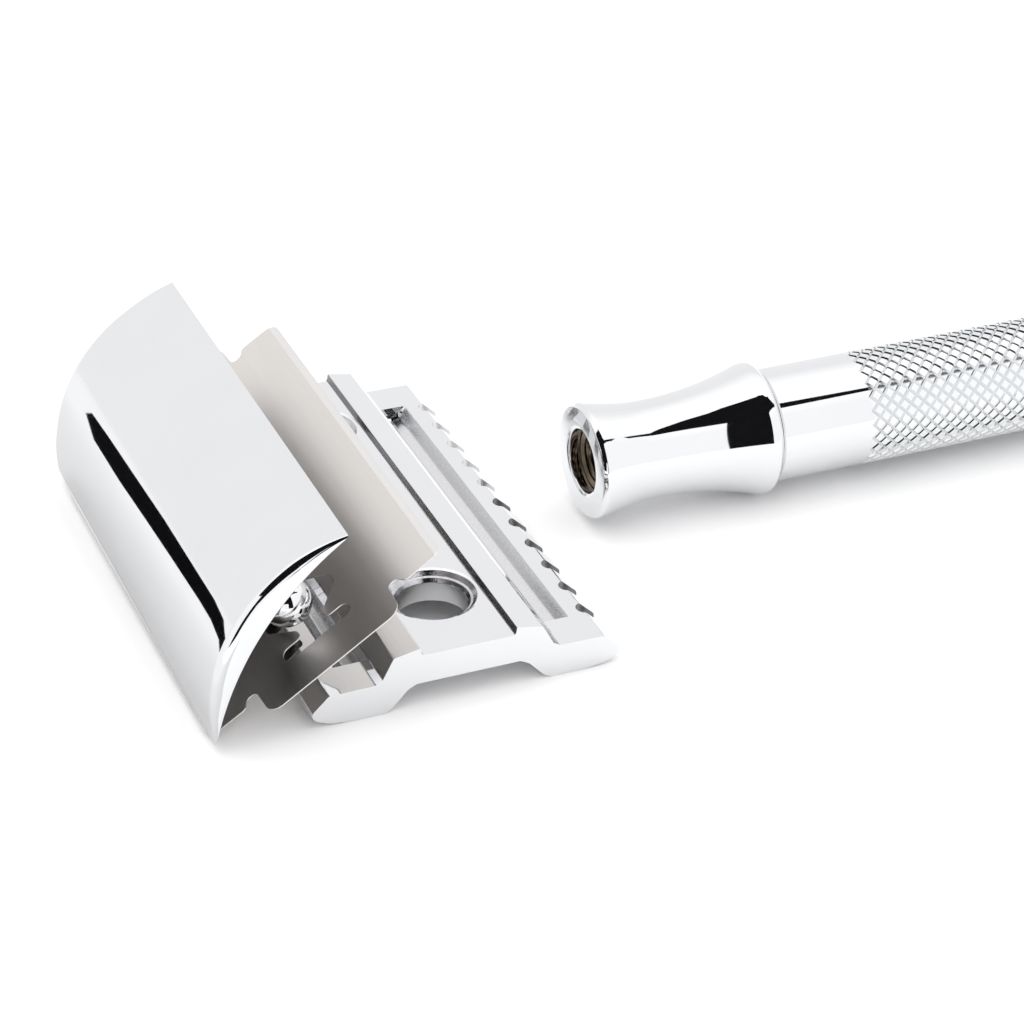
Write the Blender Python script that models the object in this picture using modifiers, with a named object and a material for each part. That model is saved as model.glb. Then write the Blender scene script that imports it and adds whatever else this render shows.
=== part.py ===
"""Safety razor, three-piece double-edge type, laid out apart on a table.

Metres, +Z up, table at z = 0. The guard plate lies flat with its long side
along Y. The blade and the cap lean over its -X side, and the handle lies
along +X. Every turned piece of the handle shares one axis.
"""

import math

import bmesh
import bpy
from mathutils import Vector

# Layout ---------------------------------------------------------------------
PLATE_X = -0.04176          # middle of the guard plate
PLATE_Y = 0.00051
CAP_DX = -0.01492           # middle of the cap's chord, from the plate's middle
CAP_Z = 0.00878
CAP_TILT = math.radians(56.0)
CAP_DY = -0.00040
BLADE_DX = -0.02009         # low edge of the blade, from the plate's middle
BLADE_Z = 0.00023
BLADE_DY = -0.00062
BLADE_TILT = math.radians(33.5)
HANDLE_DX = 0.01795         # end face of the neck, from the plate's middle
HANDLE_DY = -0.00100

FIT = 0.0003                # clearance kept between neighbouring pieces

# Guard plate ----------------------------------------------------------------
PLATE_HALF_LENGTH = 0.0212
PLATEAU_HALF = 0.00388
PLATEAU_Z = 0.00450
RAIL_STEP = 0.00067
RAIL_OUTER = 0.00600
RAIL_OUTER_Z = 0.00476
BAR_INNER = 0.00745
BAR_OUTER = 0.01110
BAR_Z = 0.00270
PLATE_HALF_WIDTH = 0.01250
TIP_Z = 0.00136
UNDERSIDE = ((0.00950, 0.0), (0.01110, 0.00020), (0.01200, 0.00055))   # (x, z) points
FOOT_INNER = 0.00620
ARCH_HALF = 0.00480
ARCH_Z = 0.00205
STUD_HOLE_RADIUS = 0.00280
POST_HOLE_OFFSET = 0.01350
POST_HOLE_RADIUS = 0.00280
POST_SINK_RADIUS = 0.00355
POST_SINK_DEPTH = 0.00055
CHANNEL_X = 0.00856
CHANNEL_HALF_WIDTH = 0.00110
CHANNEL_HALF_LENGTH = 0.01780
CHANNEL_CORNER = 0.00045
CHANNEL_FLOOR_Z = 0.00165
NOTCH_COUNT = 11
NOTCH_PITCH = 0.00340
NOTCH_RADIUS = 0.00078
NOTCH_X = 0.01138            # centre of the round inner end

# Cap ------------------------------------------------------------------------
CAP_HALF_LENGTH = 0.0214
CAP_HALF_CHORD = 0.00950
CAP_RISE = 0.00380
CAP_INNER_HALF = 0.00910
CAP_INNER_RISE = 0.00170
SOCKET_DEPTH = 0.00130
STUD_RADIUS = 0.00240
STUD_ROOT_RADIUS = 0.00190
STUD_LENGTH = 0.00680       # below the chord
STUD_CHAMFER = 0.00070
POST_OFFSET = 0.01330
POST_RADIUS = 0.00200
POST_ROOT_RADIUS = 0.00130
POST_BALL_Z = -0.00370

# Blade ----------------------------------------------------------------------
BLADE_WIDTH = 0.0221
BLADE_THICKNESS = 0.00010
BLADE_HALF_LENGTH = 0.0216
BLADE_EDGE_HALF = 0.01915
BLADE_CORNER = 0.0010
TAB_HALF = 0.0061
TAB_CORNER = 0.0011
TAB_NOTCH = ((0.00760, 0.01905), (0.00725, 0.01855), (0.00690, 0.01835), (0.00650, 0.01850),
             (0.00620, 0.01905))   # (across, along) points between an edge and a tab
POST_OPENING = ((0.00075, 0.01090), (0.00210, 0.01190), (0.00295, 0.01245), (0.00322, 0.01305),
                (0.00322, 0.01345), (0.00305, 0.01390), (0.00150, 0.01545), (0.00120, 0.01590))
SLOT_END = 0.01735
SLOT_HALF_WIDTH = 0.00070
SLOT_HALF_LENGTH = 0.00315
BRIDGE_HALF = 0.00075
CENTRE_RADIUS = 0.00315
SEAT_GAP = 0.00045          # blade below the cap's lips when seated

# Handle: distances along the axis from the neck's end face -------------------
LIP_RADIUS = 0.00560
RIM_RADIUS = 0.00486
WAIST_RADIUS = 0.00416
BAND_RADIUS = 0.00484
NECK_END = 0.01590
MOUTH_RADIUS = 0.00270
MOUTH_DEPTH = 0.00120
POCKET_RADIUS = 0.00335
POCKET_END = 0.01050
INSERT_RADIUS = 0.00310
INSERT_BORE = 0.00210
ROD_RADIUS = 0.00200
ROD_START = 0.01110
ROD_END = 0.08150
SPIGOT_RADIUS = 0.00330
SPIGOT_LENGTH = 0.00400
GRIP_END = 0.07800
KNURL_START = 0.02450
KNURL_END = 0.07350
TUBE_BORE = 0.00360
POMMEL_END = 0.08600

STEPS = 48


def clear_scene():
    """Empty the startup scene and its materials."""
    for obj in list(bpy.data.objects):
        bpy.data.objects.remove(obj)


def new_collection(name):
    """A collection linked under the scene."""
    collection = bpy.data.collections.new(name)
    bpy.context.scene.collection.children.link(collection)
    return collection


def make_material(name, colour, roughness, metallic=1.0):
    """A Principled material with plain values."""
    material = bpy.data.materials.new(name)
    material.use_nodes = True
    shader = material.node_tree.nodes["Principled BSDF"]
    shader.inputs["Base Color"].default_value = (*colour, 1.0)
    shader.inputs["Roughness"].default_value = roughness
    shader.inputs["Metallic"].default_value = metallic
    return material


def place(obj, parent, location=(0, 0, 0), rotation=(0, 0, 0)):
    """Parent an object and give it a local place."""
    obj.parent = parent
    obj.location = location
    obj.rotation_euler = rotation
    return obj


def add_empty(name, location, rotation=(0, 0, 0)):
    """An empty that carries a moving group."""
    empty = bpy.data.objects.new(name, None)
    PARTS.objects.link(empty)
    return place(empty, None, location, rotation)


def finish(obj, material, smooth_degrees=35):
    """Give a piece its material, smooth shading and sharp edges."""
    obj.data.materials.clear()
    obj.data.materials.append(material)
    obj.data.shade_smooth()
    obj.data.set_sharp_from_angle(angle=math.radians(smooth_degrees))
    return obj


def prism(name, outlines, half_length, collection):
    """Flat outlines, the first one filled and the others holes, as a solid.

    Outline points are (across, up). The solid runs along its local Z.
    """
    curve = bpy.data.curves.new(name, "CURVE")
    curve.dimensions = "2D"
    curve.fill_mode = "BOTH"
    curve.extrude = half_length
    for outline in outlines:
        spline = curve.splines.new("POLY")
        spline.points.add(len(outline) - 1)
        spline.use_cyclic_u = True
        for point, (across, up) in zip(spline.points, outline):
            point.co = (across, up, 0.0, 1.0)
    guide = bpy.data.objects.new(name + "_outline", curve)
    bpy.context.scene.collection.objects.link(guide)
    graph = bpy.context.evaluated_depsgraph_get()
    mesh = bpy.data.meshes.new_from_object(guide.evaluated_get(graph))
    bpy.data.objects.remove(guide)
    work = bmesh.new()
    work.from_mesh(mesh)
    bmesh.ops.remove_doubles(work, verts=work.verts, dist=1e-7)
    bmesh.ops.recalc_face_normals(work, faces=work.faces)
    work.to_mesh(mesh)
    work.free()
    obj = bpy.data.objects.new(name, mesh)
    collection.objects.link(obj)
    return obj


def turned(name, profile, collection, closed=False, steps=STEPS):
    """A turned solid: (radius, height) points down its outer side, about local Z."""
    mesh = bpy.data.meshes.new(name)
    count = len(profile)
    edges = [(i, i + 1) for i in range(count - 1)]
    if closed:
        edges.append((count - 1, 0))
    mesh.from_pydata([(radius, 0.0, height) for radius, height in profile], edges, [])
    obj = bpy.data.objects.new(name, mesh)
    collection.objects.link(obj)
    screw = obj.modifiers.new("turn", "SCREW")
    screw.steps = steps
    screw.render_steps = steps
    screw.use_merge_vertices = True
    screw.merge_threshold = 1e-6
    screw.use_normal_calculate = closed
    return obj


def turned_piece(name, profile, material, parent, closed=False, steps=STEPS):
    """A turned solid, frozen to a mesh and finished as a piece."""
    guide = turned(name + "_guide", profile, CUTTERS, closed, steps)
    graph = bpy.context.evaluated_depsgraph_get()
    mesh = bpy.data.meshes.new_from_object(guide.evaluated_get(graph))
    bpy.data.objects.remove(guide)
    outward(mesh)
    obj = bpy.data.objects.new(name, mesh)
    PARTS.objects.link(obj)
    place(obj, parent)
    return finish(obj, material)


def outward(mesh):
    """Turn every face of a closed mesh outward."""
    work = bmesh.new()
    work.from_mesh(mesh)
    bmesh.ops.recalc_face_normals(work, faces=work.faces)
    work.to_mesh(mesh)
    work.free()


def cut(obj, cutter):
    """Take a cutter away from a piece."""
    cutter.hide_render = True
    cutter.display_type = "WIRE"
    boolean = obj.modifiers.new("cut_" + cutter.name, "BOOLEAN")
    boolean.operation = "DIFFERENCE"
    boolean.object = cutter
    return cutter


def rod_cutter(name, radius, low, high, location, steps=32):
    """A round cutter along Z between two heights, at a place in the world."""
    work = bmesh.new()
    bmesh.ops.create_cone(work, cap_ends=True, segments=steps, radius1=radius,
                          radius2=radius, depth=high - low)
    bmesh.ops.translate(work, verts=work.verts, vec=(0, 0, (low + high) / 2))
    mesh = bpy.data.meshes.new(name)
    work.to_mesh(mesh)
    work.free()
    cutter = bpy.data.objects.new(name, mesh)
    CUTTERS.objects.link(cutter)
    cutter.location = location
    return cutter


def arc(half, rise, count, reverse=False):
    """Points of an arc over a chord, from -half to +half."""
    radius = (half * half + rise * rise) / (2 * rise)
    spread = math.asin(half / radius)
    angles = [spread * (2 * i / (count - 1) - 1) for i in range(count)]
    points = [(radius * math.sin(a), radius * math.cos(a) - radius + rise) for a in angles]
    return points[::-1] if reverse else points


def corner(centre, radius, start, end, count=5):
    """Points of a round corner between two angles in degrees."""
    turns = [math.radians(start + (end - start) * i / (count - 1)) for i in range(count)]
    return [(centre[0] + radius * math.cos(a), centre[1] + radius * math.sin(a)) for a in turns]


def mirrored(half_outline):
    """A closed outline from its +X half, listed from the bottom to the top."""
    left = [(-x, y) for x, y in reversed(half_outline) if x > 1e-9]
    return half_outline + left


# Guard plate ----------------------------------------------------------------

def plate_outline():
    """Section of the guard plate, foot to plateau, both sides."""
    half = [
        (ARCH_HALF - 0.0006, ARCH_Z),
        (ARCH_HALF + 0.0001, ARCH_Z - 0.0004),
        (FOOT_INNER, 0.0003),
        (FOOT_INNER + 0.0006, 0.0),
        *UNDERSIDE,
        (PLATE_HALF_WIDTH, TIP_Z - 0.0004),
        (PLATE_HALF_WIDTH, TIP_Z),
        (PLATE_HALF_WIDTH - 0.0003, TIP_Z + 0.0005),
        (BAR_OUTER, BAR_Z),
        (BAR_INNER, BAR_Z),
        (BAR_INNER - 0.0004, BAR_Z + 0.0003),
        (RAIL_OUTER + 0.0002, RAIL_OUTER_Z - 0.0003),
        (RAIL_OUTER, RAIL_OUTER_Z),
        (PLATEAU_HALF, PLATEAU_Z + RAIL_STEP),
        (PLATEAU_HALF, PLATEAU_Z),
    ]
    return mirrored(half)


def channel_cutter(name, side):
    """The long channel between a rail and its guard bar."""
    across = CHANNEL_HALF_WIDTH - CHANNEL_CORNER
    along = CHANNEL_HALF_LENGTH - CHANNEL_CORNER
    outline = []
    for turn, (x, y) in enumerate(((across, along), (-across, along),
                                   (-across, -along), (across, -along))):
        outline += corner((x, y), CHANNEL_CORNER, 90 * turn, 90 * turn + 90, 4)
    depth = BAR_Z - CHANNEL_FLOOR_Z
    cutter = prism(name, [outline], depth, CUTTERS)
    place(cutter, None, (PLATE_X + side * CHANNEL_X, PLATE_Y, BAR_Z))
    return cutter


def notch_cutter(name, side, along):
    """A round-ended notch through a guard bar, open on its outer side."""
    beyond = PLATE_HALF_WIDTH + 0.001
    inner_end = corner((NOTCH_X, 0.0), NOTCH_RADIUS, 90, 270, 9)
    outline = [(beyond, NOTCH_RADIUS)] + inner_end + [(beyond, -NOTCH_RADIUS)]
    cutter = prism(name, [[(side * x, y) for x, y in outline]], BAR_Z, CUTTERS)
    place(cutter, None, (PLATE_X, PLATE_Y + along, BAR_Z / 2))
    return cutter


def post_hole_cutter(name, offset):
    """A countersunk hole for a locating post."""
    bottom = ARCH_Z - 0.001
    top = PLATEAU_Z + 0.001
    sink = PLATEAU_Z - POST_SINK_DEPTH
    flare = POST_SINK_RADIUS + (POST_SINK_RADIUS - POST_HOLE_RADIUS)
    profile = [(0, top), (flare, top), (POST_SINK_RADIUS, PLATEAU_Z),
               (POST_HOLE_RADIUS, sink), (POST_HOLE_RADIUS, bottom), (0, bottom)]
    cutter = turned(name, profile, CUTTERS, steps=32)
    place(cutter, None, (PLATE_X, PLATE_Y + offset, 0))
    return cutter


def build_guard_plate():
    """The lower head plate with its rails, channels, holes and guard notches."""
    plate = prism("base_plate", [plate_outline()], PLATE_HALF_LENGTH, PARTS)
    place(plate, None, (PLATE_X, PLATE_Y, 0), (math.radians(90), 0, 0))
    cut(plate, rod_cutter("stud_hole", STUD_HOLE_RADIUS, 0.0005, PLATEAU_Z + 0.002,
                          (PLATE_X, PLATE_Y, 0)))
    for label, offset in (("near", -POST_HOLE_OFFSET), ("far", POST_HOLE_OFFSET)):
        cut(plate, post_hole_cutter("post_hole_" + label, offset))
    for label, side in (("left", -1), ("right", 1)):
        cut(plate, channel_cutter("channel_" + label, side))
        for index in range(NOTCH_COUNT):
            along = (index - (NOTCH_COUNT - 1) / 2) * NOTCH_PITCH
            cut(plate, notch_cutter(f"guard_notch_{label}_{index + 1:02d}", side, along))
    return finish(plate, CHROME)


# Cap ------------------------------------------------------------------------

def build_cap(frame):
    """The curved cap, with blind sockets for the stud and the posts."""
    outer = arc(CAP_HALF_CHORD, CAP_RISE, 33)
    inner = arc(CAP_INNER_HALF, CAP_INNER_RISE, 21, reverse=True)
    shell = prism("cap_shell", [outer + inner], CAP_HALF_LENGTH, PARTS)
    place(shell, frame, (0, 0, 0), (math.radians(90), 0, 0))
    ceiling = CAP_INNER_RISE + SOCKET_DEPTH - 0.0001
    sockets = (("stud_socket", STUD_ROOT_RADIUS, 0.0),
               ("near_socket", POST_ROOT_RADIUS, -POST_OFFSET),
               ("far_socket", POST_ROOT_RADIUS, POST_OFFSET))
    for name, radius, along in sockets:
        cutter = rod_cutter(name, radius + FIT, 0.0, ceiling, (0, along, 0), 24)
        cutter.parent = frame
        cut(shell, cutter)
    return finish(shell, CHROME)


def build_stud(frame):
    """The threaded stud that the handle screws onto."""
    root_top = CAP_INNER_RISE + SOCKET_DEPTH - 2 * FIT
    shoulder = CAP_INNER_RISE - FIT
    profile = [(0, root_top), (STUD_ROOT_RADIUS, root_top), (STUD_ROOT_RADIUS, shoulder),
               (STUD_RADIUS, shoulder), (STUD_RADIUS, -STUD_LENGTH + STUD_CHAMFER),
               (STUD_RADIUS - STUD_CHAMFER, -STUD_LENGTH), (0, -STUD_LENGTH)]
    return turned_piece("threaded_stud", profile, STEEL, frame, steps=32)


def build_post(name, frame, along):
    """A locating post with a ball end."""
    root_top = CAP_INNER_RISE + SOCKET_DEPTH - 2 * FIT
    shoulder = CAP_INNER_RISE - FIT
    ball = [(POST_RADIUS * math.cos(math.radians(a)),
             POST_BALL_Z - POST_RADIUS * math.sin(math.radians(a))) for a in range(0, 90, 15)]
    profile = [(0, root_top), (POST_ROOT_RADIUS, root_top), (POST_ROOT_RADIUS, shoulder),
               (POST_RADIUS, shoulder)] + ball + [(0, POST_BALL_Z - POST_RADIUS)]
    post = turned_piece(name, profile, CHROME, frame, steps=28)
    post.location = (0, along, 0)
    return post


# Blade ----------------------------------------------------------------------

def blade_outline():
    """Outer edge of the blade: cutting edges at +-X, tabs at +-Y."""
    half_width = BLADE_WIDTH / 2
    straight = BLADE_EDGE_HALF - BLADE_CORNER
    quarter = corner((half_width - BLADE_CORNER, straight), BLADE_CORNER, 0, 90)
    quarter += TAB_NOTCH
    quarter += corner((TAB_HALF - TAB_CORNER, BLADE_HALF_LENGTH - TAB_CORNER), TAB_CORNER, 0, 90)
    return four_quarters(quarter)


def four_quarters(quarter):
    """A closed outline from the quarter that runs from +X to +Y."""
    second = [(-x, y) for x, y in reversed(quarter) if x > 1e-9]
    top = quarter + second
    bottom = [(-x, -y) for x, y in top]
    return top + [p for p in bottom if abs(p[1]) > 1e-9]


def blade_cutout():
    """The opening down the middle of the blade: centre hole, bridges, post openings, end slots."""
    bridge_angle = math.degrees(math.asin(BRIDGE_HALF / CENTRE_RADIUS))
    quarter = corner((0, 0), CENTRE_RADIUS, 6, 90 - bridge_angle, 8)
    quarter += POST_OPENING
    quarter.append((POST_OPENING[-1][0], SLOT_END - SLOT_HALF_WIDTH))
    quarter += corner((SLOT_HALF_LENGTH - SLOT_HALF_WIDTH, SLOT_END), SLOT_HALF_WIDTH, -90, 90, 7)
    return four_quarters(quarter)


def seat_pivot():
    """Centre of the turn that takes the leaning blade up against the cap.

    Returns its (x, z) from the plate's middle.
    """
    across = Vector((math.cos(CAP_TILT), math.sin(CAP_TILT)))
    outward_normal = Vector((-math.sin(CAP_TILT), math.cos(CAP_TILT)))
    rest = Vector((BLADE_DX, BLADE_Z))
    seated = Vector((CAP_DX, CAP_Z)) - across * (BLADE_WIDTH / 2) - outward_normal * SEAT_GAP
    chord = seated - rest
    reach = 1 / (2 * math.tan((CAP_TILT - BLADE_TILT) / 2))
    return (rest + seated) / 2 + Vector((-chord.y, chord.x)) * reach


def build_blade():
    """The double-edge blade, on an empty that sits on its seating axis."""
    pivot = seat_pivot()
    mount = add_empty("blade_pivot", (PLATE_X + pivot.x, PLATE_Y + CAP_DY, pivot.y),
                      (0, -BLADE_TILT, 0))
    blade = prism("blade", [blade_outline(), blade_cutout()], BLADE_THICKNESS / 2, PARTS)
    low_edge = Vector((BLADE_DX, BLADE_Z)) - pivot
    along = Vector((math.cos(BLADE_TILT), math.sin(BLADE_TILT)))
    local_x = low_edge.dot(along) + BLADE_WIDTH / 2
    local_z = low_edge.dot(Vector((-along.y, along.x)))
    place(blade, mount, (local_x, BLADE_DY - CAP_DY, local_z))
    return finish(blade, BLADE_STEEL)


# Handle ---------------------------------------------------------------------

def neck_profile():
    """Section of the neck: lip, waist and rim outside, pocket and mouth inside."""
    outer = [(SPIGOT_RADIUS, NECK_END + SPIGOT_LENGTH), (SPIGOT_RADIUS, NECK_END),
             (0.00530, NECK_END), (0.00552, 0.01565), (LIP_RADIUS, 0.01530),
             (0.00556, 0.01485), (0.00538, 0.01420), (0.00504, 0.01305), (0.00466, 0.01140),
             (0.00438, 0.00960), (0.00421, 0.00780), (WAIST_RADIUS, 0.00600),
             (0.00423, 0.00440), (0.00446, 0.00280), (0.00468, 0.00160), (0.00481, 0.00085),
             (RIM_RADIUS, 0.00050), (0.00480, 0.00015), (0.00463, 0.0)]
    inner = [(MOUTH_RADIUS + 0.0002, 0.0), (MOUTH_RADIUS, 0.0002), (MOUTH_RADIUS, MOUTH_DEPTH),
             (POCKET_RADIUS, MOUTH_DEPTH), (POCKET_RADIUS, POCKET_END),
             (ROD_RADIUS + FIT, POCKET_END), (ROD_RADIUS + FIT, NECK_END + SPIGOT_LENGTH)]
    return outer + inner


def insert_profile():
    """Section of the threaded bush in the neck."""
    low = MOUTH_DEPTH + FIT
    high = POCKET_END - FIT
    return [(INSERT_RADIUS, high), (INSERT_RADIUS, low), (INSERT_BORE + 0.0003, low),
            (INSERT_BORE, low + 0.0003), (INSERT_BORE, high)]


def grip_profile():
    """Section of the grip tube with its plain bands."""
    start = NECK_END + FIT
    chamfer = 0.00012
    outer = [(BAND_RADIUS - chamfer, GRIP_END), (BAND_RADIUS, GRIP_END - chamfer),
             (BAND_RADIUS, KNURL_END), (BAND_RADIUS, KNURL_START),
             (BAND_RADIUS, start + chamfer), (BAND_RADIUS - chamfer, start)]
    return outer + [(TUBE_BORE, start), (TUBE_BORE, GRIP_END)]


def pommel_profile():
    """Section of the end knob, from its domed end to its spigot and rod bore."""
    start = GRIP_END + FIT
    spigot_end = GRIP_END - SPIGOT_LENGTH
    outer = [(0, POMMEL_END), (0.00150, POMMEL_END - 0.00006), (0.00290, POMMEL_END - 0.00026),
             (0.00405, POMMEL_END - 0.00065), (0.00490, POMMEL_END - 0.00125),
             (0.00543, POMMEL_END - 0.00205), (LIP_RADIUS, POMMEL_END - 0.00300),
             (0.00550, POMMEL_END - 0.00385), (0.00515, POMMEL_END - 0.00470),
             (0.00462, POMMEL_END - 0.00545), (0.00430, POMMEL_END - 0.00610),
             (0.00428, start + 0.00080), (0.00470, start + 0.00045),
             (0.00478, start), (SPIGOT_RADIUS, start), (SPIGOT_RADIUS, spigot_end)]
    bore_end = ROD_END + FIT
    inner = [(ROD_RADIUS + FIT, spigot_end), (ROD_RADIUS + FIT, bore_end), (0, bore_end)]
    return outer + inner


def build_handle():
    """Neck, threaded bush, grip tube, tie rod and end knob on one axis."""
    axis = add_empty("handle_axis", (PLATE_X + HANDLE_DX, PLATE_Y + HANDLE_DY, LIP_RADIUS),
                     (0, math.radians(90), 0))
    turned_piece("neck", neck_profile(), CHROME, axis, closed=True)
    turned_piece("thread_insert", insert_profile(), BRASS, axis, closed=True, steps=36)
    turned_piece("grip_tube", grip_profile(), CHROME, axis, closed=True)
    rod = [(0, ROD_END), (ROD_RADIUS - 0.0004, ROD_END), (ROD_RADIUS, ROD_END - 0.0004),
           (ROD_RADIUS, ROD_START + 0.0004), (ROD_RADIUS - 0.0004, ROD_START), (0, ROD_START)]
    turned_piece("tie_rod", rod, STEEL, axis, steps=24)
    turned_piece("pommel", pommel_profile(), CHROME, axis)


clear_scene()
PARTS = new_collection("safety_razor")
CUTTERS = new_collection("cutters")
CHROME = make_material("chrome", (0.86, 0.87, 0.88), 0.06)
STEEL = make_material("plated_steel", (0.72, 0.73, 0.75), 0.18)
BRASS = make_material("brass", (0.72, 0.52, 0.24), 0.28)
BLADE_STEEL = make_material("blade_steel", (0.58, 0.56, 0.54), 0.32)

build_guard_plate()
CAP_FRAME = add_empty("cap_frame", (PLATE_X + CAP_DX, PLATE_Y + CAP_DY, CAP_Z),
                      (0, -CAP_TILT, 0))
build_cap(CAP_FRAME)
build_stud(CAP_FRAME)
build_post("locating_post_near", CAP_FRAME, -POST_OFFSET)
build_post("locating_post_far", CAP_FRAME, POST_OFFSET)
build_blade()
build_handle()
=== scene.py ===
import logging
import math
from collections.abc import Callable, Sequence
from dataclasses import dataclass
from enum import Enum

import bmesh
import bpy
from mathutils import Matrix, Vector
from mathutils.geometry import tessellate_polygon


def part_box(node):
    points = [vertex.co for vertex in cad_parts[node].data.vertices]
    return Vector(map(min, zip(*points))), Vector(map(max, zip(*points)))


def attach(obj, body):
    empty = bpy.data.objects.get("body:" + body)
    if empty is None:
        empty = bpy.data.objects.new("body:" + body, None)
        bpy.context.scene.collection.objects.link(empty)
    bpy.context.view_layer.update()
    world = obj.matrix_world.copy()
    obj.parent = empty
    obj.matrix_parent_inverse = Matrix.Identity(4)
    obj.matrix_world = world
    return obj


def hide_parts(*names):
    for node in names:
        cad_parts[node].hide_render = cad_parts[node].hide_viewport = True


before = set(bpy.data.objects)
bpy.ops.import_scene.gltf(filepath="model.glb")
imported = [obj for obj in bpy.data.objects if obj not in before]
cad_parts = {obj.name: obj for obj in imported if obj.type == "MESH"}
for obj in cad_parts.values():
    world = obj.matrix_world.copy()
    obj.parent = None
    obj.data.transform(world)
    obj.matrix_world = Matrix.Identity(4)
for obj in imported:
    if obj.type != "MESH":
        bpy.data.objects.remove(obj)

LOG = logging.getLogger("safety_razor")
MM = 0.001
TOUCHING = 1e-8

Point = tuple[float, float]
Corner = tuple[float, float, float]
Tone = tuple[float, float, float]
Ring = list[Vector]
NodeTree = bpy.types.NodeTree
Socket = bpy.types.NodeSocket
Sockets = bpy.types.NodeOutputs
Value = Socket | float | Corner


# Drawing outlines -----------------------------------------------------------

def rounded(corners: Sequence[Corner], closed: bool = True, steps: int = 5) -> list[Point]:
    """Round the corners of an outline.

    Args:
        corners: (x, y, radius) for each corner, in millimetres.
        closed: whether the last corner joins the first.
        steps: chords in each round corner.

    Returns:
        The outline's points in metres.
    """
    out: list[Point] = []
    last = len(corners) - 1
    for i, (x, y, radius) in enumerate(corners):
        here = Vector((x, y))
        if radius <= 0 or (not closed and i in (0, last)):
            out.append((x * MM, y * MM))
            continue
        back = Vector(corners[i - 1][:2]) - here
        onward = Vector(corners[0 if i == last else i + 1][:2]) - here
        room = 0.48 * min(back.length, onward.length)
        back.normalize()
        onward.normalize()
        half = back.angle(onward) / 2
        if half > math.pi / 2 - 0.01:
            out.append((x * MM, y * MM))
            continue
        reach = min(radius / math.tan(half), room)
        radius = reach * math.tan(half)
        centre = here + (back + onward).normalized() * (radius / math.sin(half))
        first = here + back * reach - centre
        final = here + onward * reach - centre
        start = math.atan2(first.y, first.x)
        sweep = (math.atan2(final.y, final.x) - start + math.pi) % math.tau - math.pi
        for k in range(steps + 1):
            turn = start + sweep * k / steps
            out.append(((centre.x + radius * math.cos(turn)) * MM,
                        (centre.y + radius * math.sin(turn)) * MM))
    return out


def flowing(points: Sequence[Point], steps: int = 6) -> list[Point]:
    """A smooth line through points, with every given point on it.

    Args:
        points: the points to pass through, in millimetres.
        steps: chords between one point and the next.

    Returns:
        The line's points in metres.
    """
    out: list[Point] = []
    for i in range(len(points) - 1):
        before = Vector(points[max(i - 1, 0)])
        start = Vector(points[i])
        end = Vector(points[i + 1])
        after = Vector(points[min(i + 2, len(points) - 1)])
        for k in range(steps):
            t = k / steps
            spot = 0.5 * (2 * start + (end - before) * t
                          + (2 * before - 5 * start + 4 * end - after) * t * t
                          + (3 * start - before - 3 * end + after) * t ** 3)
            out.append((spot.x * MM, spot.y * MM))
    out.append((points[-1][0] * MM, points[-1][1] * MM))
    return out


def circle(radius: float, start: float, end: float, count: int,
           centre: Point = (0.0, 0.0)) -> list[Point]:
    """Points of an arc between two angles in degrees, in the units of its radius.

    Args:
        radius: the arc's radius.
        start: its first angle, in degrees.
        end: its last angle, in degrees.
        count: how many points it has.
        centre: the middle of its circle.

    Returns:
        The points, in the units of the radius.
    """
    turns = [math.radians(start + (end - start) * k / (count - 1)) for k in range(count)]
    return [(centre[0] + radius * math.cos(a), centre[1] + radius * math.sin(a)) for a in turns]


def bow(half: float, rise: float, count: int) -> list[Point]:
    """Points of an arc over a chord, from -half to +half, in metres.

    Args:
        half: half of the chord.
        rise: height of the arc over the chord.
        count: how many points it has.

    Returns:
        The points, with the chord on the X axis.
    """
    radius = (half * half + rise * rise) / (2 * rise)
    spread = math.asin(half / radius)
    turns = [spread * (2 * k / (count - 1) - 1) for k in range(count)]
    return [(radius * math.sin(a), radius * math.cos(a) - radius + rise) for a in turns]


def four_quarters(quarter: list[Point]) -> list[Point]:
    """A closed outline from the quarter that runs from +X to +Y.

    Args:
        quarter: points from the X axis to the Y axis.

    Returns:
        The whole outline, mirrored in both axes.
    """
    second = [(-x, y) for x, y in reversed(quarter) if x > 1e-9]
    top = quarter + second
    return top + [(-x, -y) for x, y in top if y > 1e-9]


# Making meshes --------------------------------------------------------------

def new_object(name: str, data: bpy.types.ID) -> bpy.types.Object:
    """Link a mesh, lamp or camera into the scene as an object.

    Args:
        name: the object's name.
        data: what it shows.

    Returns:
        The new object.
    """
    obj = bpy.data.objects.new(name, data)
    bpy.context.scene.collection.objects.link(obj)
    return obj


def lay(obj: bpy.types.Object, place: Matrix) -> bpy.types.Object:
    """Lay a piece in place, with its turn taken into its mesh.

    Args:
        obj: the piece, made round its own origin.
        place: the frame that it goes to.

    Returns:
        The piece, whose object is only moved and not turned.
    """
    turn = place.to_3x3().to_4x4()
    obj.data.transform(turn)
    obj.matrix_world = Matrix.Translation(place.to_translation())
    return obj


def baked(obj: bpy.types.Object) -> bpy.types.Object:
    """Take an object's modifiers into its mesh.

    Args:
        obj: the object.

    Returns:
        The same object, without modifiers.
    """
    graph = bpy.context.evaluated_depsgraph_get()
    graph.update()
    mesh = bpy.data.meshes.new_from_object(obj.evaluated_get(graph), depsgraph=graph)
    obj.modifiers.clear()
    obj.data = mesh
    return obj


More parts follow.
